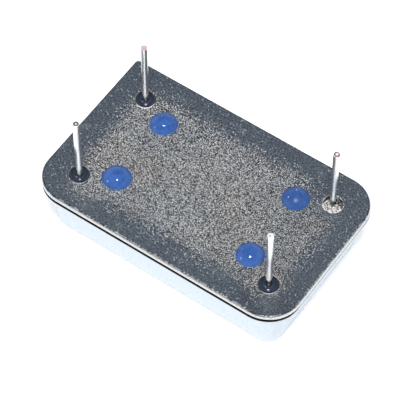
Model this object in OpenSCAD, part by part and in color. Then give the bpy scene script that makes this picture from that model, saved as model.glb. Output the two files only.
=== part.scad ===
// Full-size crystal oscillator in a welded metal can, four leads on a fourteen-pin dual-in-line pattern.
// It lies on its lid with the leads up. Millimetres, origin at the centre of the lid's outer face.

/* [Leads] */
// Distance between leads along the can
pin_pitch_x = 15.24; // [12:0.01:20]
// Distance between leads across the can
pin_pitch_y = 7.62; // [6.8:0.01:12]
// Diameter of a lead
pin_d = 0.457; // [0.35:0.001:0.65]
// Length of a lead past the header's outer face
pin_free_l = 5.68; // [3:0.01:12]
// Thickness of the plating on a lead's free length
plating_t = 0.005; // [0.002:0.001:0.01]
// Bevel left by the cut at a lead's tip
pin_tip_bevel = 0.03; // [0.01:0.01:0.1]
// How far a lead passes the solder inside
pin_end_proud = 0.15; // [0.05:0.01:0.4]

/* [Header] */
// From a lead's centre to the end of the header
pin_to_end = 2.49; // [2.2:0.01:4]
// From a lead's centre to the side of the header
pin_to_side = 2.52; // [2.2:0.01:4]
// Radius of the three round corners
corner_r = 2.4; // [1.8:0.05:3]
// Radius of the square corner at lead 1
square_corner_r = 0.3; // [0.2:0.01:0.5]
// Thickness of the header at its rim
header_t = 0.35; // [0.3:0.01:0.8]
// Radius of the rolled outer edge
header_edge_r = 0.15; // [0.05:0.01:0.19]
// Height of the platform behind the rim
platform_h = 0.75; // [0.4:0.01:1]
// Gap between the platform and the can's wall
platform_clear = 0.3; // [0.15:0.01:0.4]
// Radius of the platform's corners
platform_r = 1; // [0.7:0.05:1.2]

/* [Can] */
// Height of the body from the lid to the header's outer face
body_h = 4.95; // [4:0.01:8]
// Thickness of the can's sheet
sheet_t = 0.25; // [0.15:0.01:0.35]
// Width of the flange outside the wall
flange_w = 0.96; // [0.75:0.01:1.2]
// Radius of the wall's upright corners
can_corner_r = 1.2; // [1:0.05:1.6]
// Outer radius between the wall and the lid
lid_edge_r = 0.8; // [0.4:0.05:0.95]
// Radius under the flange
flange_fillet_r = 0.3; // [0.15:0.01:0.35]
// Open seam between the flange and the header
seam_gap = 0.25; // [0.08:0.01:0.3]
// From the flange's edge to the weld ridge
ridge_inset = 0.2; // [0.12:0.01:0.25]
// Width of the weld ridge
ridge_w = 0.3; // [0.15:0.01:0.35]

/* [Seals] */
// Diameter of the hole round a lead
seal_d = 1.4; // [1.1:0.01:1.7]
// Radius of the hole's rolled rim
seal_rim_r = 0.06; // [0.04:0.01:0.15]
// Depth of the hollow in the glass
meniscus = 0.12; // [0.05:0.01:0.2]
// Depth of the dish in the ground lead's braze
braze_dish = 0.4; // [0.2:0.01:0.44]
// How far the braze collar lies below the header's face
braze_collar_drop = 0.05; // [0.02:0.01:0.15]

/* [Stand-off beads] */
// Distance between beads along the can
bead_pitch_x = 10.74; // [8:0.01:11]
// Distance between beads across the can
bead_pitch_y = 5.42; // [4:0.01:6]
// How far the beads lie off the middle of the header, towards leads 1 and 7
bead_offset_y = 0.08; // [0:0.01:0.2]
// Diameter of a bead where it meets the header
bead_d = 2; // [1.5:0.05:2.3]
// Height of a bead
bead_h = 0.62; // [0.3:0.01:0.8]

/* [Board] */
// Thickness of the ceramic board
board_t = 0.635; // [0.4:0.005:0.9]
// Gap between the board and the can's wall
board_clear = 0.45; // [0.3:0.01:0.5]
// Diameter of the board's lead holes
board_hole_d = 0.7; // [0.66:0.01:0.8]
// Thickness of the printed conductors
film_t = 0.02; // [0.01:0.005:0.05]
// Width of a printed track
track_w = 0.3; // [0.2:0.05:0.4]
// Diameter of the printed pad round a lead
pin_pad_d = 1.3; // [1.15:0.05:1.4]
// Diameter of the solder on that pad
solder_d = 1.1; // [0.9:0.05:1.1]
// Height of the solder on a lead
solder_h = 0.3; // [0.15:0.01:0.5]
// Gap between the lowest inner piece and the lid
lid_clear = 0.5; // [0.2:0.01:0.8]

/* [Crystal] */
// Diameter of the quartz disc
blank_d = 7.4; // [6:0.1:8]
// Thickness of the quartz disc
blank_t = 0.2; // [0.1:0.01:0.3]
// Diameter of the electrodes
electrode_d = 4.4; // [3:0.1:5]
// Thickness of the electrodes
electrode_t = 0.02; // [0.01:0.005:0.03]
// Width of an electrode's tab
tab_w = 0.6; // [0.4:0.05:0.8]
// Height of a clip
clip_h = 0.6; // [0.45:0.01:0.8]
// Width of a clip
clip_w = 1.6; // [1.3:0.05:2]
// Thickness of a clip's strip
clip_t = 0.12; // [0.08:0.01:0.15]
// Inner radius of a clip's two bends
clip_bend_r = 0.05; // [0.02:0.01:0.05]
// Length of a clip's foot
clip_foot_l = 0.8; // [0.6:0.05:1]
// Diameter of an adhesive dot
bond_d = 1.1; // [0.8:0.05:1.2]
// How far the adhesive stands over the disc
bond_over = 0.16; // [0.1:0.01:0.25]
// Thickness of adhesive between disc and clip
bond_line = 0.04; // [0.035:0.005:0.06]

/* [Circuit] */
// Length of the amplifier die
ic_l = 1.8; // [1.2:0.05:2]
// Width of the amplifier die
ic_w = 1.5; // [1.2:0.05:1.8]
// Thickness of the amplifier die
ic_t = 0.35; // [0.2:0.01:0.5]
// Border of the die's pad
ic_pad_border = 0.35; // [0.2:0.05:0.4]
// Thickness of a bond wire
wire_d = 0.03; // [0.02:0.005:0.04]
// Angle that a bond wire's arch turns through
wire_arch = 130; // [120:5:140]
// Length of pad left past a clip for its wire
wire_land = 0.3; // [0.2:0.05:0.4]
// Length of the capacitor
cap_l = 2; // [1.6:0.05:2.4]
// Width of the capacitor
cap_w = 1.25; // [0.8:0.05:1.4]
// Height of the capacitor
cap_h = 0.6; // [0.4:0.05:0.7]
// Length of each of the capacitor's ends
cap_end_l = 0.4; // [0.25:0.05:0.5]

/* [Hidden] */
$fn = 64;

// Small overrun that carries a cut past the face it opens
over = 0.05;

// Quadrants in order round the plan, with the lead that stands in each: 7, 1, 14, 8
QUADRANTS = [[1, 1], [-1, 1], [-1, -1], [1, -1]];
LEAD_7 = 0;
LEAD_1 = 1;
LEAD_14 = 2;
LEAD_8 = 3;
// Beads are laid by hand, so each takes its own share of the bead's diameter
BEAD_SHARE = [0.975, 0.985, 1.03, 0.98];

// Plan of the header and the can
plate_l = pin_pitch_x + 2 * pin_to_end;
plate_w = pin_pitch_y + 2 * pin_to_side;
PLATE_R = [corner_r, square_corner_r, corner_r, corner_r];
// Strip of the header that carries its rolled edge
edge_band = (header_edge_r + square_corner_r) / 2;
can_l = plate_l - 2 * flange_w;
can_w = plate_w - 2 * flange_w;
inner_l = can_l - 2 * sheet_t;
inner_w = can_w - 2 * sheet_t;

// Heights, from the lid's outer face
header_low_z = body_h - header_t;
platform_z = header_low_z - platform_h;
flange_top_z = header_low_z - seam_gap;
flange_z = flange_top_z - sheet_t;
tip_z = body_h + pin_free_l;
seal_edge_z = body_h - seal_rim_r;

// The inner parts are stacked from the lid up to the board
bond_h = bond_line + blank_t + bond_over;
shelf_z = sheet_t + lid_clear + bond_h;
film_z = shelf_z + clip_h;
board_z = film_z + film_t;
board_top_z = board_z + board_t;
blank_top_z = shelf_z - bond_line;
blank_z = blank_top_z - blank_t;
pin_end_z = film_z - solder_h - pin_end_proud;

pin_r = pin_d / 2;
core_r = pin_r - plating_t;
seal_r = seal_d / 2;
blank_r = blank_d / 2;

// Places on the board, chained from its left edge to the right
board_l = inner_l - 2 * board_clear;
board_w = inner_w - 2 * board_clear;
clip_gap = 0.05;
part_gap = 0.4;
board_edge_gap = 0.8;
riser_reach = blank_r + bond_d / 2 + clip_gap;
clip_reach = riser_reach + clip_foot_l;
shelf_l = bond_d + 2 * clip_gap;
crystal_x = -board_l / 2 + board_edge_gap + clip_reach;
clip_end_x = crystal_x + clip_reach;
supply_x = clip_end_x + wire_land + part_gap + track_w / 2;
ic_x = supply_x + track_w / 2 + part_gap + ic_pad_border + ic_l / 2;
ic_y = -ic_w / 2;
ic_left = ic_x - ic_l / 2;
ic_right = ic_x + ic_l / 2;
ic_low = ic_y - ic_w / 2;
cap_x = supply_x + cap_l / 2;
cap_y = ic_y + ic_w / 2 + ic_pad_border + part_gap + cap_w / 2;
pad_y = clip_w / 2 + part_gap;

function same_radii(r) = [for (q = QUADRANTS) r];
function lead_place(q) = [q[0] * pin_pitch_x / 2, q[1] * pin_pitch_y / 2, 0];
function bead_place(q) = [q[0] * bead_pitch_x / 2, q[1] * bead_pitch_y / 2 + bead_offset_y, body_h];
function lead_x(i) = lead_place(QUADRANTS[i])[0];
function lead_y(i) = lead_place(QUADRANTS[i])[1];

// Shared shapes

// What a round corner takes off a square one, with the round's centre at the origin
module corner_cut(r) {
    difference() {
        square(r + over);
        circle(r);
    }
}

// Rectangle with its own radius at each corner, in the order of the quadrants
module rounded_plan(l, w, radii) {
    difference() {
        square([l, w], center = true);
        for (i = [0:3])
            translate([QUADRANTS[i][0] * (l / 2 - radii[i]), QUADRANTS[i][1] * (w / 2 - radii[i])])
                rotate(90 * i)
                    corner_cut(radii[i]);
    }
}

// Carries a section round a rounded rectangle: x is 0 on the outline and negative inside, y is the height
module swept_rim(l, w, radii) {
    for (i = [0:3]) {
        r = radii[i];
        run = (i % 2 == 0 ? w : l) - r - radii[(i + 3) % 4];
        translate([QUADRANTS[i][0] * (l / 2 - r), QUADRANTS[i][1] * (w / 2 - r), 0])
            rotate(90 * i) {
                rotate_extrude(angle = 90)
                    translate([r, 0])
                        children();
                translate([r, 0, 0])
                    rotate([90, 0, 0])
                        linear_extrude(run)
                            children();
            }
    }
}

// Quarter of a bent sheet: ring between two radii in the quadrant that turn selects
module sheet_bend(outer_r, inner_r, turn) {
    intersection() {
        difference() {
            circle(outer_r);
            circle(inner_r);
        }
        rotate(turn)
            square(outer_r + over);
    }
}

// Dome of a given base diameter and height, standing on z = 0
module dome(d, h) {
    dome_r = (d * d / 4 + h * h) / (2 * h);
    rotate_extrude()
        intersection() {
            translate([0, h - dome_r])
                circle(dome_r);
            square([d, h]);
        }
}

// Header

module header_edge() {
    difference() {
        translate([-edge_band, header_low_z])
            square([edge_band, header_t]);
        translate([-header_edge_r, body_h - header_edge_r])
            corner_cut(header_edge_r);
    }
}

module seal_hole() {
    rotate_extrude() {
        translate([0, platform_z - over])
            square([seal_r, header_t + platform_h + 2 * over]);
        translate([0, seal_edge_z])
            difference() {
                square([seal_r + seal_rim_r, seal_rim_r + over]);
                translate([seal_r + seal_rim_r, 0])
                    circle(seal_rim_r);
            }
    }
}

module header_base() {
    color("darkgray")
        difference() {
            union() {
                swept_rim(plate_l, plate_w, PLATE_R)
                    header_edge();
                translate([0, 0, header_low_z])
                    linear_extrude(header_t)
                        rounded_plan(
                            plate_l - 2 * edge_band,
                            plate_w - 2 * edge_band,
                            [for (r = PLATE_R) r - edge_band]
                        );
                translate([0, 0, platform_z])
                    linear_extrude(platform_h)
                        rounded_plan(
                            inner_l - 2 * platform_clear,
                            inner_w - 2 * platform_clear,
                            same_radii(platform_r)
                        );
            }
            for (q = QUADRANTS)
                translate(lead_place(q))
                    seal_hole();
        }
}

// Can

module can_section() {
    wall_top_z = flange_z - flange_fillet_r;
    translate([-lid_edge_r, lid_edge_r])
        sheet_bend(lid_edge_r, lid_edge_r - sheet_t, 270);
    translate([-sheet_t, lid_edge_r])
        square([sheet_t, wall_top_z - lid_edge_r]);
    translate([flange_fillet_r, wall_top_z])
        sheet_bend(flange_fillet_r + sheet_t, flange_fillet_r, 90);
}

module flange_plan(inset) {
    rounded_plan(
        plate_l - 2 * inset,
        plate_w - 2 * inset,
        [for (r = PLATE_R) max(r - inset, square_corner_r / 3)]
    );
}

module cover_can() {
    color("silver") {
        swept_rim(can_l, can_w, same_radii(can_corner_r))
            can_section();
        linear_extrude(sheet_t)
            rounded_plan(
                can_l - 2 * lid_edge_r,
                can_w - 2 * lid_edge_r,
                same_radii(can_corner_r - lid_edge_r)
            );
        translate([0, 0, flange_z])
            linear_extrude(sheet_t)
                difference() {
                    flange_plan(0);
                    rounded_plan(
                        can_l + 2 * flange_fillet_r,
                        can_w + 2 * flange_fillet_r,
                        same_radii(can_corner_r + flange_fillet_r)
                    );
                }
        translate([0, 0, flange_top_z - sheet_t / 2])
            linear_extrude(seam_gap + sheet_t / 2)
                difference() {
                    flange_plan(ridge_inset);
                    flange_plan(ridge_inset + ridge_w);
                }
    }
}

// Leads and their seals

// The free length is plated after the glass is fired, so a lead is bare metal inside the header
module lead(i) {
    color("lightgray")
        translate(lead_place(QUADRANTS[i])) {
            translate([0, 0, body_h])
                cylinder(h = pin_free_l - pin_tip_bevel, r = pin_r);
            translate([0, 0, tip_z - pin_tip_bevel])
                cylinder(h = pin_tip_bevel, r1 = pin_r, r2 = pin_r - pin_tip_bevel);
            translate([0, 0, pin_end_z])
                cylinder(h = body_h - pin_end_z, r = core_r);
        }
}

module pin_1() { lead(LEAD_1); }
module pin_7_ground() { lead(LEAD_7); }
module pin_8() { lead(LEAD_8); }
module pin_14() { lead(LEAD_14); }

module glass_seal(i) {
    half_w = (seal_r - core_r) / 2;
    hollow_r = (half_w * half_w + meniscus * meniscus) / (2 * meniscus);
    color([0.1, 0.13, 0.18])
        translate(lead_place(QUADRANTS[i]))
            rotate_extrude()
                difference() {
                    translate([core_r, platform_z])
                        square([seal_r - core_r, seal_edge_z - platform_z]);
                    for (z = [seal_edge_z - meniscus + hollow_r, platform_z + meniscus - hollow_r])
                        translate([core_r + half_w, z])
                            circle(hollow_r);
                }
}

module glass_seal_1() { glass_seal(LEAD_1); }
module glass_seal_8() { glass_seal(LEAD_8); }
module glass_seal_14() { glass_seal(LEAD_14); }

module ground_braze_7() {
    color("whitesmoke")
        translate(lead_place(QUADRANTS[LEAD_7]))
            rotate_extrude()
                difference() {
                    translate([core_r, platform_z])
                        square([seal_r - core_r, body_h - braze_collar_drop - platform_z]);
                    translate([seal_r, body_h])
                        circle(braze_dish);
                }
}

module standoff_bead(i) {
    color("royalblue")
        translate(bead_place(QUADRANTS[i]))
            dome(bead_d * BEAD_SHARE[i], bead_h * BEAD_SHARE[i]);
}

module standoff_bead_1() { standoff_bead(LEAD_1); }
module standoff_bead_7() { standoff_bead(LEAD_7); }
module standoff_bead_8() { standoff_bead(LEAD_8); }
module standoff_bead_14() { standoff_bead(LEAD_14); }

// Board, its conductors and solder

module board_holes() {
    for (q = QUADRANTS)
        translate(lead_place(q))
            circle(d = board_hole_d);
}

module substrate_board() {
    color("ivory")
        translate([0, 0, board_z])
            linear_extrude(board_t)
                difference() {
                    square([board_l, board_w], center = true);
                    board_holes();
                }
}

// Straight printed track between two points on one axis
module track(from, to) {
    low = [min(from[0], to[0]), min(from[1], to[1])];
    size = [abs(from[0] - to[0]), abs(from[1] - to[1])];
    translate(low - [track_w / 2, track_w / 2])
        square(size + [track_w, track_w]);
}

module pad(place, l, w) {
    translate(place)
        square([l, w], center = true);
}

module pin_pad(i) {
    translate([lead_x(i), lead_y(i)])
        circle(d = pin_pad_d);
}

module supply_net() {
    pin_pad(LEAD_14);
    track([lead_x(LEAD_14), lead_y(LEAD_14)], [supply_x, lead_y(LEAD_14)]);
    track([supply_x, lead_y(LEAD_14)], [supply_x, cap_y]);
    pad([cap_x - cap_l / 2 + cap_end_l / 2, cap_y], 2 * cap_end_l, cap_w);
}

module ground_net() {
    cap_pad_x = cap_x + cap_l / 2 - cap_end_l / 2;
    pin_pad(LEAD_7);
    track([lead_x(LEAD_7), lead_y(LEAD_7)], [lead_x(LEAD_7), cap_y]);
    track([lead_x(LEAD_7), cap_y], [cap_pad_x, cap_y]);
    pad([cap_pad_x, cap_y], 2 * cap_end_l, cap_w);
    track([cap_pad_x, cap_y], [cap_pad_x, ic_y]);
    pad([ic_x, ic_y], ic_l + 2 * ic_pad_border, ic_w + 2 * ic_pad_border);
}

module output_net() {
    pin_pad(LEAD_8);
    track([lead_x(LEAD_8), lead_y(LEAD_8)], [lead_x(LEAD_8), output_y()]);
    track([lead_x(LEAD_8), output_y()], [ic_x, output_y()]);
}

function output_y() = ic_low - ic_pad_border - part_gap - track_w / 2;

module enable_net() {
    pin_pad(LEAD_1);
    track([lead_x(LEAD_1), lead_y(LEAD_1)], [clip_end_x, lead_y(LEAD_1)]);
    track([clip_end_x, lead_y(LEAD_1)], [clip_end_x, pad_y]);
}

module clip_pad(side, land) {
    l = clip_foot_l + land;
    pad([crystal_x + side * (riser_reach + l / 2), 0], l, clip_w);
}

module left_crystal_track() {
    foot_x = crystal_x - clip_reach + track_w / 2;
    track([foot_x, 0], [foot_x, -pad_y]);
    track([foot_x, -pad_y], [clip_end_x, -pad_y]);
}

module film_layer() {
    translate([0, 0, film_z])
        linear_extrude(film_t)
            difference() {
                union() children();
                board_holes();
            }
}

module film_conductors() {
    color("goldenrod") {
        film_layer() supply_net();
        film_layer() ground_net();
        film_layer() output_net();
        film_layer() enable_net();
        film_layer() clip_pad(1, wire_land);
        film_layer() {
            clip_pad(-1, 0);
            left_crystal_track();
        }
    }
}

module pin_solder(i) {
    hole_r = board_hole_d / 2;
    solder_r = solder_d / 2;
    toe = solder_h / 6;
    color("gainsboro")
        translate(lead_place(QUADRANTS[i]))
            rotate_extrude()
                polygon([
                    [core_r, board_top_z],
                    [hole_r, board_top_z],
                    [hole_r, film_z],
                    [solder_r, film_z],
                    [solder_r, film_z - toe],
                    [core_r + toe, film_z - solder_h],
                    [core_r, film_z - solder_h]
                ]);
}

module pin_solder_1() { pin_solder(LEAD_1); }
module pin_solder_7() { pin_solder(LEAD_7); }
module pin_solder_8() { pin_solder(LEAD_8); }
module pin_solder_14() { pin_solder(LEAD_14); }

// Crystal and what carries it

module blank_shape() {
    translate([crystal_x, 0, blank_z])
        cylinder(h = blank_t, d = blank_d);
}

module quartz_blank() {
    color("aliceblue")
        blank_shape();
}

// Film disc with a tab that runs out towards one clip
module electrode_shape(low_z, side) {
    tab_l = blank_r - clip_gap;
    translate([crystal_x, 0, low_z])
        linear_extrude(electrode_t) {
            circle(d = electrode_d);
            translate([side * tab_l / 2, 0])
                square([tab_l, tab_w], center = true);
        }
}

module upper_electrode_shape() { electrode_shape(blank_top_z, -1); }
module lower_electrode_shape() { electrode_shape(blank_z - electrode_t, 1); }

module electrode_upper() { color("gold") upper_electrode_shape(); }
module electrode_lower() { color("gold") lower_electrode_shape(); }

// Strip bent up from the shelf under the adhesive and out along the foot on the board
module clip_section() {
    bend_x = riser_reach + clip_t / 2;
    turn = clip_t / 2 + clip_bend_r;
    low_z = shelf_z + clip_t + clip_bend_r;
    high_z = film_z - clip_t - clip_bend_r;
    translate([riser_reach - shelf_l, shelf_z])
        square([shelf_l - clip_bend_r, clip_t]);
    translate([bend_x - turn, low_z])
        sheet_bend(clip_bend_r + clip_t, clip_bend_r, 270);
    translate([riser_reach, low_z])
        square([clip_t, high_z - low_z]);
    translate([bend_x + turn, high_z])
        sheet_bend(clip_bend_r + clip_t, clip_bend_r, 90);
    translate([bend_x + turn, film_z - clip_t])
        square([clip_reach - bend_x - turn, clip_t]);
}

module crystal_clip(side) {
    color("tan")
        translate([crystal_x, 0, 0])
            mirror([side < 0 ? 1 : 0, 0, 0])
                rotate([90, 0, 0])
                    linear_extrude(clip_w, center = true)
                        clip_section();
}

module crystal_clip_left() { crystal_clip(-1); }
module crystal_clip_right() { crystal_clip(1); }

module crystal_bond(side) {
    color("dimgray")
        difference() {
            translate([crystal_x + side * blank_r, 0, shelf_z])
                rotate([180, 0, 0])
                    dome(bond_d, bond_h);
            blank_shape();
            upper_electrode_shape();
            lower_electrode_shape();
        }
}

module crystal_bond_left() { crystal_bond(-1); }
module crystal_bond_right() { crystal_bond(1); }

// Circuit parts

module oscillator_ic() {
    color("slategray")
        translate([ic_x, ic_y, film_z - ic_t / 2])
            cube([ic_l, ic_w, ic_t], center = true);
}

module bypass_capacitor() {
    waist = cap_h / 20;
    color("peru")
        translate([cap_x, cap_y, film_z - cap_h / 2]) {
            cube([cap_l - cap_end_l, cap_w - 2 * waist, cap_h - 2 * waist], center = true);
            for (side = [-1, 1])
                translate([side * (cap_l - cap_end_l) / 2, 0, 0])
                    cube([cap_end_l, cap_w, cap_h], center = true);
        }
}

// Wire that arches from a bump on the die to a bump on a pad
module bond_wire(die, pad) {
    way = pad - die;
    span = norm(way);
    chord = norm([span, ic_t]);
    arch_r = chord / (2 * sin(wire_arch / 2));
    bump_h = 2 * wire_d;
    bump_d = 4 * wire_d;
    translate([die[0], die[1], film_z - ic_t - bump_h])
        cylinder(h = bump_h, d = bump_d);
    translate([pad[0], pad[1], film_z - bump_h])
        cylinder(h = bump_h, d = bump_d);
    translate([die[0], die[1], film_z - ic_t - bump_h / 2])
        rotate([0, -atan2(ic_t, span), atan2(way[1], way[0])])
            translate([chord / 2, 0, arch_r * cos(wire_arch / 2)])
                rotate([90, 0, 0])
                    rotate(270 - wire_arch / 2)
                        rotate_extrude(angle = wire_arch)
                            translate([arch_r, 0])
                                circle(d = wire_d);
}

module bond_wires() {
    edge = ic_pad_border / 2;
    color("gold") {
        bond_wire([ic_left + edge, ic_y], [clip_end_x + wire_land / 2, ic_y]);
        bond_wire([ic_left + edge, ic_low + edge], [clip_end_x, -pad_y]);
        bond_wire([ic_left + edge, ic_y + ic_w / 2 - edge], [clip_end_x, pad_y]);
        bond_wire([ic_left + 2 * edge, ic_low + edge], [supply_x, output_y()]);
        bond_wire([ic_x, ic_low + edge], [ic_x, output_y()]);
        bond_wire([ic_right - edge, ic_y], [ic_right + edge, ic_y]);
    }
}

header_base();
cover_can();
pin_1();
pin_7_ground();
pin_8();
pin_14();
glass_seal_1();
glass_seal_8();
glass_seal_14();
ground_braze_7();
standoff_bead_1();
standoff_bead_7();
standoff_bead_8();
standoff_bead_14();
substrate_board();
film_conductors();
pin_solder_1();
pin_solder_7();
pin_solder_8();
pin_solder_14();
quartz_blank();
electrode_upper();
electrode_lower();
crystal_clip_left();
crystal_clip_right();
crystal_bond_left();
crystal_bond_right();
oscillator_ic();
bond_wires();
bypass_capacitor();
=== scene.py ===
import math

import bmesh
import bpy
from mathutils import Matrix, Vector, noise


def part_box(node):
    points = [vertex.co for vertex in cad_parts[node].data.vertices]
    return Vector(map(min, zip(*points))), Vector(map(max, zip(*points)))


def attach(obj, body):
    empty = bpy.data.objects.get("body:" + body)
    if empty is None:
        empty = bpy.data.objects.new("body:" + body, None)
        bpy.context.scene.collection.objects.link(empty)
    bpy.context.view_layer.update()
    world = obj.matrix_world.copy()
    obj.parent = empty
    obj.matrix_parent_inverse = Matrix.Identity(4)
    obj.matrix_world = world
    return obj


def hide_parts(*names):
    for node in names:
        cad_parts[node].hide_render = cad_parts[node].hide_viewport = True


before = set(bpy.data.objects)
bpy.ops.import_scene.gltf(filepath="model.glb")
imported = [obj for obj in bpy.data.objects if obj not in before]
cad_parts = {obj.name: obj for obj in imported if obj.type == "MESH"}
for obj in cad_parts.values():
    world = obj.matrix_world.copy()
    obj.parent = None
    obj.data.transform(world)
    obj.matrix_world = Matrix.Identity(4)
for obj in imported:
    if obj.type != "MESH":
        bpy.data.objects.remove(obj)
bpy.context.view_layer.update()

# Sizes are in millimetres. MM turns them into the frame's metres
MM = 0.001


def box_mm(node):
    """Low and high corner of a CAD node."""
    return [[round(v / MM, 4) for v in corner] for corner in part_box(node)]


def plan_mm(node):
    """Middle of a CAD node in plan, and half its width."""
    (x0, y0, _), (x1, y1, _) = box_mm(node)
    return (x0 + x1) / 2, (y0 + y1) / 2, (x1 - x0) / 2


QUADRANTS = [(1, 1), (-1, 1), (-1, -1), (1, -1)]
# Leads by number, each with its quadrant, which also seeds its noise
LEADS = {"7": 0, "1": 1, "14": 2, "8": 3}
LEAD_NODE = {"7": "pin_7_ground", "1": "pin_1", "14": "pin_14", "8": "pin_8"}
LEAD_X, LEAD_Y, PIN_R = plan_mm("pin_7_ground")
TIP_Z = box_mm("pin_7_ground")[1][2]
CORE_R, PIN_LOW, PIN_CHAMFER = 0.2235, 1.305, 0.03
CUT_BURR = 0.012

header_low, header_high = box_mm("header_base")
PLATE, BODY_H, PLATFORM_Z = header_high[:2], header_high[2], header_low[2]
PLATE_R = [2.4, 0.3, 2.4, 2.4]
HEADER_LOW = box_mm("cover_can")[1][2]
PLATFORM, PLATFORM_R = (8.6, 4.82), 1.0
PLATFORM_FILLET, PLATFORM_CHAMFER = 0.06, 0.05
# The press left the header's middle standing a little proud of its border
PRESS_STEP = 0.012
PRESSED, PRESSED_R = (PLATE[0] - 1.38, PLATE[1] - 1.3), [1.9] * 4
# The rolled edge of the header starts at its crest, and turns by degrees with these radii
CREST_INSET, CREST_DROP, EDGE_BURR = 0.139, 0.004, 0.02
EDGE_ROLL = [
    (5, 0.2), (15, 0.2), (25, 0.07), (40, 0.07), (55, 0.17), (70, 0.17), (80, 0.17), (90, 0.17)]

CAN, CAN_R = (9.15, 5.37), 1.2
LID_EDGE_R, FILLET_R = 0.8, 0.3
FLANGE_Z, FLANGE_TOP, SHEET_T = 4.1, 4.35, 0.25
# Rounding of the flange's outer edge, as insets and heights
FLANGE_EDGE = [(0.04, 0), (0.012, 0.012), (0, 0.05)]
WALL_ROWS, WALL_DENT = (1.4, 2.1, 2.8, 3.4), 0.004
# Weld ridge on the flange, as insets from its outline
RIDGE_OUT, RIDGE_IN = 0.2, 0.5
# The ridge stops this far short of the header
CLEAR = 0.001
# The flange is pressed up to the header at one end
LIFT, LIFT_X, LIFT_Y = 0.17, (9.1, 9.8), (3.6, 5.0)

SEAL_R, SEAL_RIM_R = plan_mm("glass_seal_1")[2], 0.06
MENISCUS, MENISCUS_CLIMB = 0.12, 0.02
BRAZE_DISH_R = 0.4
# Pits in a bead's dome, as places from its middle and radii
BEAD_PITS = {"7": [(-0.12, 0.3, 0.05), (0.02, 0.18, 0.06), (0.16, 0.42, 0.05), (-0.05, -0.12, 0.07)]}
PIT_DEPTH = 0.018

LEAD_PLACE = {lead: plan_mm(node)[:2] for lead, node in LEAD_NODE.items()}
# Middle and radius of each bead, and the height of its top
BEADS = {lead: plan_mm("standoff_bead_" + lead) for lead in LEADS}
BEAD_TOPS = {lead: box_mm("standoff_bead_" + lead)[1][2] for lead in LEADS}


def wobble(x, y, z, size, seed):
    """Smooth noise from -1 to 1 whose lumps are about size millimetres wide."""
    return noise.noise(Vector((x / size + seed * 7.31, y / size - seed * 3.17, z / size + seed)))


# Meshes

def new_object(name, data):
    obj = bpy.data.objects.new(name, data)
    bpy.context.scene.collection.objects.link(obj)
    return obj


class Shell:
    """A closed mesh built from loops of points."""

    def __init__(self):
        self.bm = bmesh.new()

    def loop(self, points):
        return [self.bm.verts.new(Vector(p) * MM) for p in points]

    def bridge(self, a, b):
        n = len(a)
        for i in range(n):
            self.bm.faces.new((a[i], a[(i + 1) % n], b[(i + 1) % n], b[i]))

    def bridges(self, loops):
        for a, b in zip(loops, loops[1:]):
            self.bridge(a, b)

    def cap(self, a):
        self.bm.faces.new(a)

    def fan(self, a, point):
        tip = self.bm.verts.new(Vector(point) * MM)
        for i in range(len(a)):
            self.bm.faces.new((a[i], a[(i + 1) % len(a)], tip))

    def fill(self, *loops):
        edges = []
        for a in loops:
            for i in range(len(a)):
                pair = (a[i], a[(i + 1) % len(a)])
                edges.append(self.bm.edges.get(pair) or self.bm.edges.new(pair))
        bmesh.ops.triangle_fill(self.bm, use_beauty=True, use_dissolve=False, edges=edges)

    def piece(self, name, material, slot, *nodes, angle=32):
        bmesh.ops.recalc_face_normals(self.bm, faces=self.bm.faces)
        mesh = bpy.data.meshes.new(name)
        self.bm.to_mesh(mesh)
        self.bm.free()
        for p in mesh.polygons:
            p.use_smooth = True
        mesh.set_sharp_from_angle(angle=math.radians(angle))
        mesh.materials.append(material)
        obj = new_object(name, mesh)
        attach(obj, "root")
        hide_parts(*nodes)
        return obj


# Points round a corner, along a long and a short side, and round a hole, lead, braze and bead
ARC, LONG, SHORT = 14, 150, 84
HOLE_POINTS, LEAD_POINTS, BRAZE_POINTS, BEAD_POINTS = 56, 40, 72, 72
# Steps of a quarter round
ROUND_STEPS, RIM_STEPS = 8, 6


def ring(half, radii, inset, z):
    """Loop round a rectangle that has its own radius at each corner, moved in by inset."""
    hx, hy = half[0] - inset, half[1] - inset
    r = [max(q - inset, 0.04) for q in radii]
    points = []
    for i, (sx, sy) in enumerate(QUADRANTS):
        cx, cy = sx * (hx - r[i]), sy * (hy - r[i])
        for k in range(ARC + 1):
            a = math.radians(90 * i + 90 * k / ARC)
            points.append((cx + r[i] * math.cos(a), cy + r[i] * math.sin(a), z))
        nx, ny = QUADRANTS[(i + 1) % 4]
        q = r[(i + 1) % 4]
        a = math.radians(90 * (i + 1))
        end = (nx * (hx - q) + q * math.cos(a), ny * (hy - q) + q * math.sin(a))
        start = points[-1]
        n = LONG if i % 2 == 0 else SHORT
        for k in range(1, n):
            t = k / n
            points.append((start[0] + (end[0] - start[0]) * t, start[1] + (end[1] - start[1]) * t, z))
    return points


def circle(x, y, r, z, n):
    return [
        (x + r * math.cos(math.tau * k / n), y + r * math.sin(math.tau * k / n), z)
        for k in range(n)
    ]


def roughened(points, size, out, up, seed):
    """Points of a loop pushed out from the part's middle and up by smooth noise."""
    moved = []
    for x, y, z in points:
        a = wobble(x, y, z, size, seed) * out
        b = wobble(x, y, z, size, seed + 1) * up
        way = Vector((x * PLATE[1], y * PLATE[0], 0)).normalized()
        moved.append((x + way.x * a, y + way.y * a, z + b))
    return moved


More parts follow.
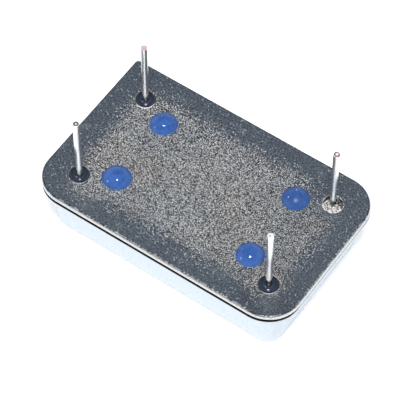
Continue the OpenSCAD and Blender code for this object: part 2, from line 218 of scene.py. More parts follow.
def build_header(material):
    border_z = BODY_H - PRESS_STEP
    shell = Shell()
    rows = [ring(PRESSED, PRESSED_R, inset, z) for inset, z in (
        (0.04, BODY_H), (0, BODY_H), (-0.05, BODY_H - PRESS_STEP * 0.35), (-0.12, border_z),
        (-0.16, border_z))]
    rows += [
        ring(PLATE, PLATE_R, 0.7, border_z),
        ring(PLATE, PLATE_R, 0.36, border_z),
        roughened(ring(PLATE, PLATE_R, 0.26, border_z), 0.14, 0.05, 0, 3),
        roughened(ring(PLATE, PLATE_R, 0.18, border_z + 0.006), 0.13, 0.05, 0.003, 4),
    ]
    inset, z, last = CREST_INSET, BODY_H - CREST_DROP, 0
    for turn, r in EDGE_ROLL:
        t, was = math.radians(turn), math.radians(last)
        inset -= r * (math.sin(t) - math.sin(was))
        z -= r * (math.cos(was) - math.cos(t))
        last = turn
        burr = EDGE_BURR * math.cos(t)
        rows.append(roughened(ring(PLATE, PLATE_R, max(inset, 0) + burr, z), 0.15, burr, 0, 5))
    rows += [
        ring(PLATE, PLATE_R, 0, HEADER_LOW + 0.1),
        ring(PLATE, PLATE_R, 0, HEADER_LOW + 0.03),
        ring(PLATE, PLATE_R, 0.02, HEADER_LOW),
        ring(PLATFORM, [PLATFORM_R + PLATFORM_FILLET] * 4, -PLATFORM_FILLET, HEADER_LOW),
        ring(PLATFORM, [PLATFORM_R] * 4, 0, HEADER_LOW - PLATFORM_FILLET),
        ring(PLATFORM, [PLATFORM_R] * 4, 0, PLATFORM_Z + PLATFORM_CHAMFER),
        ring(PLATFORM, [PLATFORM_R] * 4, PLATFORM_CHAMFER, PLATFORM_Z),
    ]
    loops = [shell.loop(r) for r in rows]
    shell.bridges(loops)
    tops, lows = [], []
    for lead in LEADS:
        hole = [shell.loop(circle(*LEAD_PLACE[lead], r, z, HOLE_POINTS)) for r, z in hole_profile()]
        shell.bridges(hole)
        tops.append(hole[0])
        lows.append(hole[-1])
    shell.fill(loops[0], *tops)
    shell.fill(loops[-1], *lows)
    return shell.piece("header_plate", material, "plated_header", "header_base")


def hole_profile():
    """Radii and heights of a lead's hole, from its rolled rim down."""
    profile = [(SEAL_R + SEAL_RIM_R + 0.03, BODY_H)]
    for k in range(RIM_STEPS + 1):
        t = math.radians(90 * k / RIM_STEPS)
        profile.append((SEAL_R + SEAL_RIM_R * (1 - math.sin(t)), BODY_H - SEAL_RIM_R * (1 - math.cos(t))))
    return profile + [(SEAL_R, (BODY_H + PLATFORM_Z) / 2), (SEAL_R, PLATFORM_Z)]


def rise(value, low, high):
    t = min(max((value - low) / (high - low), 0), 1)
    return t * t * (3 - 2 * t)


def lifted(points):
    """The flange's loops, raised at the end where it is pressed up to the header."""
    raised = []
    for x, y, z in points:
        share = rise(x, *LIFT_X) * (1 - rise(abs(y), *LIFT_Y))
        raised.append((x, y, min(z + LIFT * share, HEADER_LOW - CLEAR)))
    return raised


def quarter(backward=False):
    """Angles from 0 to 90 degrees, or from 90 to 0."""
    for k in range(ROUND_STEPS + 1):
        yield math.radians(90 - 90 * k / ROUND_STEPS if backward else 90 * k / ROUND_STEPS)


def build_can(material):
    shell = Shell()
    wall_r = [CAN_R] * 4
    wall_top = FLANGE_Z - FILLET_R
    rows = []
    for t in quarter():
        rows.append(ring(CAN, wall_r, LID_EDGE_R * (1 - math.sin(t)), LID_EDGE_R * (1 - math.cos(t))))
    for z in WALL_ROWS:
        rows.append(roughened(ring(CAN, wall_r, WALL_DENT / 2, z), 3.0, WALL_DENT, 0, 11))
    for t in quarter():
        rows.append(ring(CAN, wall_r, -FILLET_R * (1 - math.cos(t)), wall_top + FILLET_R * math.sin(t)))
    flange = [ring(PLATE, PLATE_R, inset, FLANGE_Z + up) for inset, up in FLANGE_EDGE]
    flange += [ring(PLATE, PLATE_R, inset, FLANGE_TOP - up) for inset, up in reversed(FLANGE_EDGE)]
    flange += [
        roughened(ring(PLATE, PLATE_R, RIDGE_OUT, FLANGE_TOP), 0.35, 0.03, 0, 13),
        roughened(ring(PLATE, PLATE_R, RIDGE_OUT + 0.03, FLANGE_TOP + 0.08), 0.25, 0.035, 0.01, 14),
        roughened(ring(PLATE, PLATE_R, RIDGE_OUT + 0.02, FLANGE_TOP + 0.16), 0.3, 0.035, 0.01, 15),
        ring(PLATE, PLATE_R, RIDGE_OUT, HEADER_LOW - CLEAR),
        ring(PLATE, PLATE_R, RIDGE_IN, HEADER_LOW - CLEAR),
        ring(PLATE, PLATE_R, RIDGE_IN, FLANGE_TOP),
    ]
    rows += [lifted(r) for r in flange]
    for t in quarter(backward=True):
        r = FILLET_R + SHEET_T
        rows.append(ring(CAN, wall_r, -FILLET_R + r * math.cos(t), wall_top + r * math.sin(t)))
    for t in quarter(backward=True):
        r = LID_EDGE_R - SHEET_T
        rows.append(ring(CAN, wall_r, LID_EDGE_R - r * math.sin(t), LID_EDGE_R - r * math.cos(t)))
    loops = [shell.loop(r) for r in rows]
    shell.bridges(loops)
    shell.cap(list(reversed(loops[0])))
    shell.cap(loops[-1])
    return shell.piece("can_shell", material, "plated_can", "cover_can")


def build_lead(lead, material):
    x, y = LEAD_PLACE[lead]
    seed = 20 + LEADS[lead]
    shell = Shell()
    rows = [
        (CORE_R - PIN_CHAMFER, PIN_LOW), (CORE_R, PIN_LOW + PIN_CHAMFER), (CORE_R, 3.0), (CORE_R, BODY_H),
        (PIN_R, BODY_H + 0.004),
    ]
    rows += [(PIN_R, BODY_H + 0.25 + 0.5 * k) for k in range(11)]
    # The shoulder, and the cut face, which is a little hollow
    rows += [(PIN_R, TIP_Z - 0.05), (PIN_R - 0.006, TIP_Z - 0.024), (PIN_R - 0.03, TIP_Z - 0.004)]
    rows += [(PIN_R * 0.78, TIP_Z - 0.001), (PIN_R * 0.5, TIP_Z - 0.012), (PIN_R * 0.2, TIP_Z - 0.016)]
    loops = []
    for r, z in rows:
        burr = CUT_BURR if z > TIP_Z - 0.03 and r < PIN_R * 0.9 else 0
        points = []
        for px, py, pz in circle(x, y, r, z, LEAD_POINTS):
            shift = wobble(px, py, z * 0.2, 0.12, seed) * burr
            points.append((px, py, min(pz + shift, TIP_Z)))
        loops.append(shell.loop(points))
    shell.bridges(loops)
    shell.cap(list(reversed(loops[0])))
    shell.fan(loops[-1], (x, y, TIP_Z - 0.014))
    return shell.piece("lead_" + lead, material, "plated_lead", LEAD_NODE[lead])


def build_seal(lead, material):
    """Glass with a hollow meniscus above and below, which climbs the lead a little."""
    x, y = LEAD_PLACE[lead]
    seed = 30 + LEADS[lead]
    shell = Shell()
    half = (SEAL_R - CORE_R) / 2
    mid = CORE_R + half
    loops = []
    count = 18
    for k in range(count + 1):
        s = -1 + 2 * k / count
        r = mid + half * math.sin(s * math.pi / 2)
        u = (r - mid) / half
        climb = MENISCUS_CLIMB * max(-u - 0.6, 0) / 0.4
        z = BODY_H - SEAL_RIM_R - MENISCUS * (1 - u * u) + climb
        points = []
        for px, py, pz in circle(x, y, r, z, HOLE_POINTS):
            lump = wobble(px, py, 0, 0.5, seed) * 0.014 * (1 - u * u)
            points.append((px, py, pz + lump))
        loops.append(shell.loop(points))
    low = [shell.loop(circle(x, y, r, PLATFORM_Z + up, HOLE_POINTS)) for r, up in (
        (SEAL_R, 0), (mid + half * 0.5, MENISCUS * 0.75), (mid, MENISCUS),
        (mid - half * 0.5, MENISCUS * 0.75), (CORE_R, 0))]
    shell.bridges(loops + low + [loops[0]])
    return shell.piece("seal_" + lead, material, "seal_glass", "glass_seal_" + lead)


def build_braze(material):
    """Lumpy metal that wets the ground lead and lines its hole as a dish."""
    x, y = LEAD_PLACE["7"]
    shell = Shell()
    rows = [(CORE_R, BODY_H - 0.05), (CORE_R + 0.04, BODY_H - 0.05), (CORE_R + 0.075, BODY_H - 0.07)]
    count = 14
    for k in range(1, count + 1):
        t = math.radians(176 + 94 * k / count)
        rows.append((min(SEAL_R + BRAZE_DISH_R * math.cos(t), SEAL_R), BODY_H + BRAZE_DISH_R * math.sin(t)))
    loops = []
    for k, (r, z) in enumerate(rows):
        share = min(k, 3) / 3 * (0 if k == len(rows) - 1 else 1)
        points = []
        for px, py, pz in circle(x, y, r, z, BRAZE_POINTS):
            lump = wobble(px, py, 0, 0.22, 41) * 0.03 + wobble(px, py, 0, 0.09, 42) * 0.015
            points.append((px, py, pz + lump * share))
        loops.append(shell.loop(points))
    low = [shell.loop(circle(x, y, r, PLATFORM_Z, BRAZE_POINTS)) for r in (SEAL_R, CORE_R)]
    shell.bridges(loops + low + [loops[0]])
    return shell.piece("braze_7", material, "braze_metal", "ground_braze_7", angle=60)


def build_bead(lead, material):
    x, y, r0 = BEADS[lead]
    h = BEAD_TOPS[lead] - BODY_H
    seed = 50 + LEADS[lead]
    dome_r = (r0 * r0 + h * h) / (2 * h)
    count = 26
    shell = Shell()
    loops = []
    for k in range(count):
        q = 1 - k / count
        points = []
        for j in range(BEAD_POINTS):
            a = math.tau * j / BEAD_POINTS
            edge = r0 * (1 + 0.006 * math.sin(2 * a + seed) + 0.004 * math.sin(3 * a + 2 * seed) - 0.008)
            r = edge * q
            ideal = r0 * q
            z = math.sqrt(max(dome_r ** 2 - ideal ** 2, 0)) - (dome_r - h)
            px, py = r * math.cos(a), r * math.sin(a)
            z += wobble(px, py, 0, 0.9, seed) * 0.002 * (1 - q * q)
            for ax, ay, pr in BEAD_PITS.get(lead, []):
                d = math.hypot(px - ax, py - ay) / pr
                z -= PIT_DEPTH * math.exp(-d * d * 2)
            points.append((x + px, y + py, BODY_H + min(max(z, 0), h)))
        loops.append(shell.loop(points))
    shell.bridges(loops)
    shell.fan(loops[-1], (x, y, BODY_H + h - 0.006))
    shell.cap(list(reversed(loops[0])))
    return shell.piece("bead_" + lead, material, "bead_blue", "standoff_bead_" + lead, angle=50)


# Materials

def set_stops(ramp, stops):
    """Give a colour ramp its stops, as places and colours."""
    while len(ramp.elements) < len(stops):
        ramp.elements.new(0.5)
    for element, (place, colour) in zip(ramp.elements, stops):
        element.position = place
        element.color = (*colour, 1)


class Look:
    """Node tree of one procedural material. Places are in millimetres of the part's own frame."""

    def __init__(self, name):
        self.material = bpy.data.materials.new(name)
        self.material.use_nodes = True
        self.tree = self.material.node_tree
        self.shader = self.tree.nodes["Principled BSDF"]
        coords = self.tree.nodes.new("ShaderNodeTexCoord")
        self.place = self.vector("SCALE", coords.outputs["Object"], scale=1 / MM)
        split = self.tree.nodes.new("ShaderNodeSeparateXYZ")
        self.put(split.inputs[0], self.place)
        self.x, self.y, self.z = split.outputs

    def put(self, socket, value):
        if isinstance(value, bpy.types.NodeSocket):
            self.tree.links.new(value, socket)
        elif isinstance(value, tuple) and socket.type == "RGBA":
            socket.default_value = (*value, 1)
        else:
            socket.default_value = value

    def vector(self, operation, a, b=None, scale=None):
        n = self.tree.nodes.new("ShaderNodeVectorMath")
        n.operation = operation
        self.put(n.inputs[0], a)
        if b is not None:
            self.put(n.inputs[1], b)
        if scale is not None:
            self.put(n.inputs["Scale"], scale)
        return n.outputs["Vector"]

    def math(self, operation, a, b=None):
        n = self.tree.nodes.new("ShaderNodeMath")
        n.operation = operation
        for i, value in enumerate((a, b)):
            if value is not None:
                self.put(n.inputs[i], value)
        return n.outputs[0]

    def add(self, *values):
        total = values[0]
        for value in values[1:]:
            total = self.math("ADD", total, value)
        return total

    def times(self, *values):
        total = values[0]
        for value in values[1:]:
            total = self.math("MULTIPLY", total, value)
        return total

    def span(self, value, low, high, to_low=0.0, to_high=1.0, smooth=True):
        n = self.tree.nodes.new("ShaderNodeMapRange")
        n.interpolation_type = "SMOOTHSTEP" if smooth else "LINEAR"
        for i, v in enumerate((value, low, high, to_low, to_high)):
            self.put(n.inputs[i], v)
        return n.outputs[0]

    def noise(self, scale, detail=2.0, rough=0.5, stretch=None):
        n = self.tree.nodes.new("ShaderNodeTexNoise")
        place = self.vector("MULTIPLY", self.place, stretch) if stretch else self.place
        self.put(n.inputs["Vector"], place)
        self.put(n.inputs["Scale"], scale)
        self.put(n.inputs["Detail"], detail)
        self.put(n.inputs["Roughness"], rough)
        return n.outputs[0]

    def cells(self, scale):
        """Distance to the nearest cell's centre, and two numbers of that cell's own."""
        n = self.tree.nodes.new("ShaderNodeTexVoronoi")
        self.put(n.inputs["Vector"], self.place)
        self.put(n.inputs["Scale"], scale)
        split = self.tree.nodes.new("ShaderNodeSeparateColor")
        self.put(split.inputs[0], n.outputs["Color"])
        return n.outputs["Distance"], split.outputs[0], split.outputs[1]

    def reach(self, x, y, mirrored=False):
        """Distance in plan from a point, or from its four mirror images."""
        at_x, at_y = (self.math("ABSOLUTE", v) if mirrored else v for v in (self.x, self.y))
        dx, dy = self.math("SUBTRACT", at_x, x), self.math("SUBTRACT", at_y, y)
        return self.math("SQRT", self.add(self.times(dx, dx), self.times(dy, dy)))

    def mix(self, share, a, b, blend="MIX"):
        n = self.tree.nodes.new("ShaderNodeMix")
        n.data_type = "RGBA"
        n.blend_type = blend
        self.put(n.inputs[0], share)
        self.put(n.inputs[6], a)
        self.put(n.inputs[7], b)
        return n.outputs[2]

    def blend(self, share, a, b):
        n = self.tree.nodes.new("ShaderNodeMix")
        n.data_type = "FLOAT"
        self.put(n.inputs[0], share)
        self.put(n.inputs[2], a)
        self.put(n.inputs[3], b)
        return n.outputs[0]

    def ramp(self, value, stops):
        n = self.tree.nodes.new("ShaderNodeValToRGB")
        self.put(n.inputs[0], value)
        set_stops(n.color_ramp, stops)
        return n.outputs[0]

    def bump(self, height, strength, distance):
        n = self.tree.nodes.new("ShaderNodeBump")
        self.put(n.inputs["Strength"], strength)
        self.put(n.inputs["Distance"], distance * MM)
        self.put(n.inputs["Height"], height)
        self.put(self.shader.inputs["Normal"], n.outputs[0])

    def finish(self, colour, rough, metallic=0.0, ior=1.5):
        self.put(self.shader.inputs["Base Color"], colour)
        self.put(self.shader.inputs["Roughness"], rough)
        self.put(self.shader.inputs["Metallic"], metallic)
        self.put(self.shader.inputs["IOR"], ior)
        return self.material


def inside(look, half, radius, shift=0.0):
    """How far a place lies outside a rounded rectangle, negative inside it."""
    along = look.math("SUBTRACT", look.x, shift)
    qx = look.math("SUBTRACT", look.math("ABSOLUTE", along), half[0] - radius)
    qy = look.math("SUBTRACT", look.math("ABSOLUTE", look.y), half[1] - radius)
    ox, oy = look.math("MAXIMUM", qx, 0.0), look.math("MAXIMUM", qy, 0.0)
    reach = look.math("SQRT", look.add(look.times(ox, ox), look.times(oy, oy)))
    inner = look.math("MINIMUM", look.math("MAXIMUM", qx, qy), 0.0)
    return look.math("SUBTRACT", look.add(reach, inner), radius)


# Where the header's bright grain reaches, as a rounded rectangle, and places in plan that differ
GRAIN_HALF, GRAIN_R, GRAIN_SHIFT = (8.6, 4.9), 2.2, 0.05
# The second spot is the middle of the border's painted shade
BARE_SPOT, PAINTED_SHADE_SPOT = (6.9, 3.6), (8.0, -5.0)
CROWDED_SPOTS = [(7.5, -4.1), (-6.9, -4.9)]
# Burrs on the rolled edge thin out inward at this rate for each millimetre
BURR_FADE = 1.6
# A painted highlight fills a circle that lies off the middle of a glass-filled hole and is smaller than it
RIM_HIGHLIGHT_X, RIM_HIGHLIGHT_Y, RIM_HIGHLIGHT_IN = 0.091, -0.131, 0.07


def header_grain(look, face):
    """Cover, height and colour of the bright grain on the header's middle."""
    edge = inside(look, GRAIN_HALF, GRAIN_R, GRAIN_SHIFT)
    bare = look.span(look.reach(*BARE_SPOT), 2.0, 0.7, 0.0, 1.1)
    crowded = look.math("MINIMUM", *(look.reach(*spot) for spot in CROWDED_SPOTS))
    crowded = look.span(crowded, 2.0, 0.7, 0.0, -0.5)
    drift = look.times(look.math("SUBTRACT", look.noise(0.9, 3), 0.5), 1.1)
    share = look.span(look.add(edge, drift, bare, crowded), 1.15, -1.4)
    share = look.times(share, share, face)
    distance, own, pick = look.cells(17.5)
    cover = look.span(look.math("SUBTRACT", share, pick), -0.04, 0.04)
    grain = look.times(look.span(distance, 0.72, 0.22), look.span(own, 0.0, 1.0, 0.1, 1.0, smooth=False))
    colour = look.ramp(grain, [
        (0.0, (0.08, 0.08, 0.081)), (0.28, (0.13, 0.13, 0.13)), (0.42, (0.9, 0.895, 0.89)),
        (0.6, (1.0, 0.99, 0.98))])
    warm = look.mix(look.span(look.noise(0.22, 2), 0.35, 0.65), (0.94, 0.975, 1.0), (1.0, 0.985, 0.965))
    colour = look.mix(1.0, colour, warm, "MULTIPLY")
    colour = look.mix(look.span(look.x, 1.0, 8.5, 0.0, 0.22), colour, (0.1, 0.1, 0.1))
    return cover, grain, colour


def header_border(look):
    """Mottle and colour of the plain border, with painted shade at the near corner."""
    mottle = look.noise(8.5, 3, 0.65)
    colour = look.ramp(mottle, [(0.34, (0.09, 0.105, 0.125)), (0.66, (0.38, 0.43, 0.485))])
    # Painted shade: the border turns darker round a spot at the near corner
    painted_corner_shade = look.span(look.reach(*PAINTED_SHADE_SPOT), 3.2, 0.9, 0.0, 0.35)
    return mottle, look.mix(painted_corner_shade, colour, (0.07, 0.08, 0.095))


def header_specks(look, face):
    """Loose white specks all over the header."""
    distance, own, size = look.cells(8.5)
    radius = look.span(size, 0.0, 1.0, 0.05, 0.31)
    return look.times(
        look.span(look.math("SUBTRACT", distance, radius), 0.08, -0.04),
        look.math("GREATER_THAN", own, 0.7), face)


def side_burrs(look, outward, half, most, stretch):
    """Burrs along one side of the header, fewer the further they lie in from its outline."""
    share = look.add(look.times(outward, BURR_FADE), most - half * BURR_FADE)
    return look.span(look.add(look.noise(9.0, 2, 0.6, stretch), share), 0.5, 0.53)


def header_burrs(look):
    """Burrs scraped up along the rolled edge, on the near long side and the right-hand short side."""
    near = side_burrs(look, look.times(look.y, -1.0), PLATE[1], 0.21, (1.0, 0.25, 1.0))
    near = look.times(near, look.span(look.math("ABSOLUTE", look.x), 8.0, 7.2))
    right = side_burrs(look, look.x, PLATE[0], 0.19, (0.25, 1.0, 1.0))
    right = look.times(right, look.span(look.math("ABSOLUTE", look.y), 5.0, 4.2), 0.7)
    return look.math("MAXIMUM", near, right)


def crept_braze(look):
    """Patches of braze that crept over the rim of the ground lead's hole."""
    ragged = look.times(look.noise(9.0, 2), 0.14)
    off = look.add(look.reach(*LEAD_PLACE["7"]), ragged, -0.07 - SEAL_R - 0.005)
    patchy = look.span(look.noise(2.2, 2), 0.46, 0.54)
    return look.times(look.span(look.math("ABSOLUTE", off), 0.06, 0.03), patchy)


def past_outline(look):
    """How far a place lies outside the header's outline, which is square at lead 1."""
    square = look.times(look.math("LESS_THAN", look.x, -6.0), look.math("GREATER_THAN", look.y, 3.0))
    return look.blend(square, inside(look, PLATE, PLATE_R[0]), inside(look, PLATE, PLATE_R[1]))


def header_look():
    look = Look("header_nickel")
    face = look.span(look.z, BODY_H - 0.09, BODY_H - 0.025)
    cover, grain, grain_colour = header_grain(look, face)
    mottle, border = header_border(look)
    flat = look.mix(cover, border, grain_colour)
    # Specks, burrs, crept braze and smudges are dull
    speck = header_specks(look, face)
    crept = crept_braze(look)
    smudge = look.span(look.noise(0.8, 5, 0.65), 0.54, 0.72, 0.0, 0.11)
    dull = look.math("MAXIMUM", look.times(speck, 0.95), look.times(header_burrs(look), face, 0.72))
    dull = look.math("MAXIMUM", dull, look.times(crept, 0.85))
    dull = look.math("MAXIMUM", dull, look.times(smudge, face))
    flat = look.mix(dull, flat, (0.48, 0.49, 0.50))
    rim = look.ramp(look.noise(9.0, 4, 0.65), [
        (0.3, (0.30, 0.295, 0.29)), (0.45, (0.55, 0.545, 0.535)), (0.65, (0.66, 0.65, 0.635))])
    colour = look.mix(face, rim, flat)
    hole = look.span(look.reach(LEAD_X, LEAD_Y, mirrored=True), SEAL_R + 0.05, SEAL_R + 0.02)
    # Painted shade: the hole's wall turns darker further down
    painted_hole_shade = look.span(look.z, BODY_H - 0.04, BODY_H - 0.08)
    colour = look.mix(hole, colour, look.mix(painted_hole_shade, (0.45, 0.45, 0.445), (0.10, 0.095, 0.09)))
    # Painted highlight on one side of the holes' rims
    for lead, width, strength in (("1", 0.03, 1.0), ("14", 0.0, 0.5), ("8", 0.0, 0.7)):
        x, y = LEAD_PLACE[lead]
        reach = look.add(look.reach(x + RIM_HIGHLIGHT_X, y + RIM_HIGHLIGHT_Y), RIM_HIGHLIGHT_IN - SEAL_R - width)
        rim_highlight = look.span(reach, 0.015, -0.015, 0.0, strength)
        dull = look.math("MAXIMUM", dull, rim_highlight)
        colour = look.mix(rim_highlight, colour, (0.80, 0.80, 0.79))
    colour = look.mix(look.times(crept, 0.8), colour, (0.62, 0.61, 0.60))
    # Painted shade: a dark line runs inside the outline, apart from the right-hand end, and the low edge is
    # painted black
    outside = past_outline(look)
    crest_painted_shade = look.span(look.math("ABSOLUTE", look.add(outside, 0.075)), 0.04, 0.02, 0.0, 0.5)
    apart = look.span(look.x, 9.5, 9.0)
    upper = look.span(look.z, BODY_H - 0.07, BODY_H - 0.04)
    colour = look.mix(look.times(crest_painted_shade, apart, upper), colour, (0.05, 0.05, 0.05))
    painted_under_shade = look.span(look.add(look.z, look.times(apart, -0.045)), HEADER_LOW + 0.03, HEADER_LOW)
    colour = look.mix(painted_under_shade, colour, (0.02, 0.018, 0.016))
    rolled = look.span(outside, -0.17, -0.13)
    rough = look.add(
        look.times(cover, 0.1), look.times(look.noise(9.0, 2), 0.1), look.times(dull, 0.3),
        look.times(look.math("MAXIMUM", rolled, hole), -0.18), 0.37)
    height = look.add(look.times(cover, grain), look.times(speck, 0.4), look.times(mottle, 0.15))
    look.bump(height, 0.5, 0.03)
    return look.finish(colour, rough, metallic=look.span(dull, 0.0, 1.0, 1.0, 0.0, smooth=False))


def can_look():
    look = Look("can_nickel")
    draw = look.noise(3.0, 3, 0.6, (6.0, 6.0, 0.35))
    cloud = look.noise(0.35, 3)
    colour = look.mix(draw, (0.50, 0.553, 0.60), (0.545, 0.592, 0.64))
    colour = look.mix(look.times(cloud, 0.25), colour, (0.58, 0.63, 0.67))
    scuff_distance, scuff_own, _ = look.cells(1.3)
    scuff = look.times(look.span(scuff_distance, 0.16, 0.05), look.span(scuff_own, 0.8, 0.9))
    colour = look.mix(look.times(scuff, 0.3), colour, (0.42, 0.44, 0.48))
    # Painted shade: the wall is darker and bluer towards its right-hand end and its bottom
    end = look.span(look.x, CAN[0] - 0.55, CAN[0] - 0.05, 0.0, 0.7)
    low = look.span(look.z, 0.9, 0.3, 0.0, 0.7)
    colour = look.mix(look.math("MAXIMUM", end, low), colour, (0.47, 0.51, 0.57))
    # Painted shade: the seam above the flange is painted near black
    lift = look.times(
        look.span(look.x, *LIFT_X), look.span(look.math("ABSOLUTE", look.y), *LIFT_Y, LIFT, 0.0))
    seam = look.span(look.math("SUBTRACT", look.z, lift), FLANGE_TOP - 0.02, FLANGE_TOP - 0.004)
    painted_seam_shade = look.mix(look.noise(4.0, 3), (0.008, 0.007, 0.006), (0.03, 0.025, 0.02))
    colour = look.mix(seam, colour, painted_seam_shade)
    rough = look.add(look.times(draw, 0.14), look.times(scuff, 0.1), look.times(seam, 0.35), 0.2)
    look.bump(look.add(look.times(draw, 0.5), look.times(look.noise(14.0, 2), 0.3)), 0.2, 0.01)
    return look.finish(colour, rough, metallic=1.0)


# Painted reflection streaks along the back of every wire, like those painted on its front
BACK_REFLECTION_STREAKS = [
    (62, 12, BODY_H, (0.26, 0.27, 0.29), 1.0), (104, 19, BODY_H, (0.34, 0.35, 0.37), 1.0),
    (150, 13, BODY_H, (0.22, 0.23, 0.25), 1.0), (-164, 11, BODY_H, (0.30, 0.31, 0.33), 1.0),
]
# Side of every wire, in degrees, that is dull above its foot
WIPED_SIDE = -62


def lead_look(
        lead, cut_colour, ring_colour, ring_r, ring_w, foot, wipe, base_rough,
        ring_off=(0.0, 0.0), streaks=()):
    """Tinned wire whose cut tip shows a ring, or a dot where the ring has no radius.

    The foot has painted shade up to a height above the header. Above it one side is dull over a half width
    in degrees. Streaks along the wire, painted reflections and highlights, are given as an angle round it,
    a half width in degrees, a lower end, a colour and a shine.
    """
    look = Look("lead_tin_" + lead)
    x, y = LEAD_PLACE[lead]
    drawn = look.noise(7.0, 2, 0.5, (4.0, 4.0, 0.12))
    blotch = look.noise(2.5, 3)
    colour = look.mix(drawn, (0.68, 0.675, 0.67), (0.82, 0.815, 0.805))
    colour = look.mix(look.times(look.span(blotch, 0.58, 0.75), 0.18), colour, (0.50, 0.49, 0.475))
    turn = look.math("ARCTAN2", look.add(look.y, -y), look.add(look.x, -x))
    ragged = look.times(look.math("SUBTRACT", drawn, 0.5), 0.5)
    shine = look.span(blotch, 0.3, 0.9, 1.0, 0.96)
    for angle, half, low, streak_colour, streak_shine in (*BACK_REFLECTION_STREAKS, *streaks):
        off = look.math("ABSOLUTE", look.add(turn, ragged, -math.radians(angle)))
        streak = look.times(
            look.span(off, math.radians(half), math.radians(half * 0.7)), look.span(look.z, low, low + 1.2))
        colour = look.mix(look.times(streak, 0.9), colour, streak_colour)
        shine = look.blend(streak, shine, streak_shine)
    # Painted shade on the foot, and dull just above
    painted_foot_shade = look.span(look.z, BODY_H + foot, BODY_H + foot - 0.2)
    colour = look.mix(look.times(painted_foot_shade, 0.6), colour, (0.14, 0.145, 0.155))
    wiped = look.math("ABSOLUTE", look.add(turn, ragged, -math.radians(WIPED_SIDE)))
    above = look.times(
        look.span(wiped, math.radians(wipe), math.radians(wipe * 0.5)),
        look.span(look.z, BODY_H + foot - 0.15, BODY_H + foot + 0.1),
        look.span(look.add(look.z, blotch), BODY_H + foot + 2.6, BODY_H + foot + 1.0, 0.0, 0.5))
    shine = look.times(shine, look.math("SUBTRACT", 1.0, above))
    cut = look.span(look.z, TIP_Z - 0.035, TIP_Z - 0.02)
    grit = look.noise(12.0, 3)
    way = look.add(look.reach(x + ring_off[0], y + ring_off[1]), look.times(grit, 0.05), -0.025 - ring_r)
    mark = look.span(look.math("ABSOLUTE", way), ring_w, ring_w * 0.5)
    face = look.mix(mark, look.mix(look.times(grit, 0.25), cut_colour, (0.95, 0.95, 0.95)), ring_colour)
    rough = look.add(look.times(drawn, 0.05), look.times(blotch, 0.05), look.times(cut, 0.5), base_rough)
    look.bump(drawn, 0.03, 0.008)
    return look.finish(look.mix(cut, colour, face), rough, metallic=look.blend(cut, shine, 0.0))


def glass_look():
    look = Look("seal_dark_glass")
    cloud = look.noise(3.0, 4)
    colour = look.mix(cloud, (0.015, 0.023, 0.041), (0.027, 0.040, 0.065))
    # Painted shade: the glass turns darker towards the hole's wall
    rim = look.span(look.reach(LEAD_X, LEAD_Y, mirrored=True), SEAL_R - 0.2, SEAL_R, 0.0, 0.85)
    colour = look.mix(rim, colour, (0.002, 0.003, 0.006))
    distance, own, _ = look.cells(7.0)
    bubble = look.times(look.span(distance, 0.22, 0.1), look.span(own, 0.9, 0.95))
    colour = look.mix(look.times(bubble, 0.7), colour, (0.06, 0.075, 0.095))
    rough = look.add(look.times(cloud, 0.1), 0.2)
    look.bump(look.add(look.times(cloud, 1.0), look.times(bubble, 0.4)), 0.12, 0.02)
    return look.finish(colour, rough, ior=1.55)


def braze_look():
    look = Look("braze_silver")
    lumps = look.noise(7.0, 4, 0.6)
    _, own, _ = look.cells(13.0)
    colour = look.ramp(look.add(look.times(lumps, 0.6), look.times(own, 0.4)), [
        (0.23, (0.07, 0.068, 0.065)), (0.40, (0.32, 0.315, 0.30)), (0.51, (0.9, 0.89, 0.87)),
        (0.7, (1.0, 0.99, 0.97))])
    # The pool set frosty on the side away from the long edge
    side = look.add(look.y, -LEAD_PLACE["7"][1])
    frost = look.add(look.times(lumps, 0.5), look.times(own, 0.5), look.times(side, -0.7))
    frost = look.span(frost, 0.38, 0.46, 0.0, 0.88)
    rough = look.add(look.times(own, 0.2), 0.32)
    look.bump(look.add(lumps, look.times(own, 0.5)), 0.6, 0.05)
    return look.finish(colour, rough, metallic=look.math("SUBTRACT", 1.0, frost))


def bead_look(name, dull=0.0, specks_and_glints=()):
    """Blue glass, dulled by an amount, with white specks and painted highlights at places given in plan."""
    look = Look(name)
    cloud = look.noise(1.6, 4, 0.6)
    swirl = look.noise(6.0, 3)
    colour = look.mix(look.span(cloud, 0.3, 0.7), (0.027, 0.084, 0.285), (0.046, 0.124, 0.385))
    colour = look.mix(look.times(look.span(swirl, 0.58, 0.75), 0.35), colour, (0.07, 0.17, 0.46))
    fleck = look.noise(13.0, 2, 0.6)
    colour = look.mix(look.span(fleck, 0.5, 0.7, 0.0, 0.4), colour, (0.075, 0.175, 0.44))
    colour = look.mix(look.span(fleck, 0.5, 0.3, 0.0, 0.4), colour, (0.018, 0.062, 0.24))
    foot = look.span(look.z, BODY_H + 0.07, BODY_H + 0.01)
    colour = look.mix(look.times(foot, 0.5), colour, (0.13, 0.24, 0.44))
    distance, own, _ = look.cells(6.0)
    pore = look.times(look.span(distance, 0.2, 0.08), look.span(own, 0.9, 0.94))
    colour = look.mix(look.times(pore, 0.5), colour, (0.20, 0.32, 0.62))
    ragged = look.times(look.noise(14.0, 2), 0.08)
    for x, y, r in specks_and_glints:
        speck = look.span(look.add(look.reach(x, y), ragged, -0.04), r, r * 0.4)
        colour = look.mix(look.times(speck, 0.75), colour, (0.72, 0.80, 0.90))
    colour = look.mix(dull, colour, (0.012, 0.03, 0.09))
    rough = look.add(look.times(swirl, 0.1), look.times(pore, 0.15), 0.05 + dull)
    look.bump(look.add(look.times(cloud, 0.5), look.times(pore, -0.5), look.times(swirl, 0.2)), 0.05, 0.03)
    return look.finish(colour, rough, ior=1.32)


def plain_look(name, low, high, scale, metallic, rough, bump=0.2):
    """Finish of a piece inside the can: two tones, with roughness and bump from the same grain."""
    look = Look(name)
    grain = look.noise(scale, 4, 0.6)
    look.bump(grain, bump, 0.02)
    colour = look.mix(look.span(grain, 0.3, 0.7), low, high)
    return look.finish(colour, look.add(look.times(grain, 0.2), rough - 0.1), metallic=metallic)


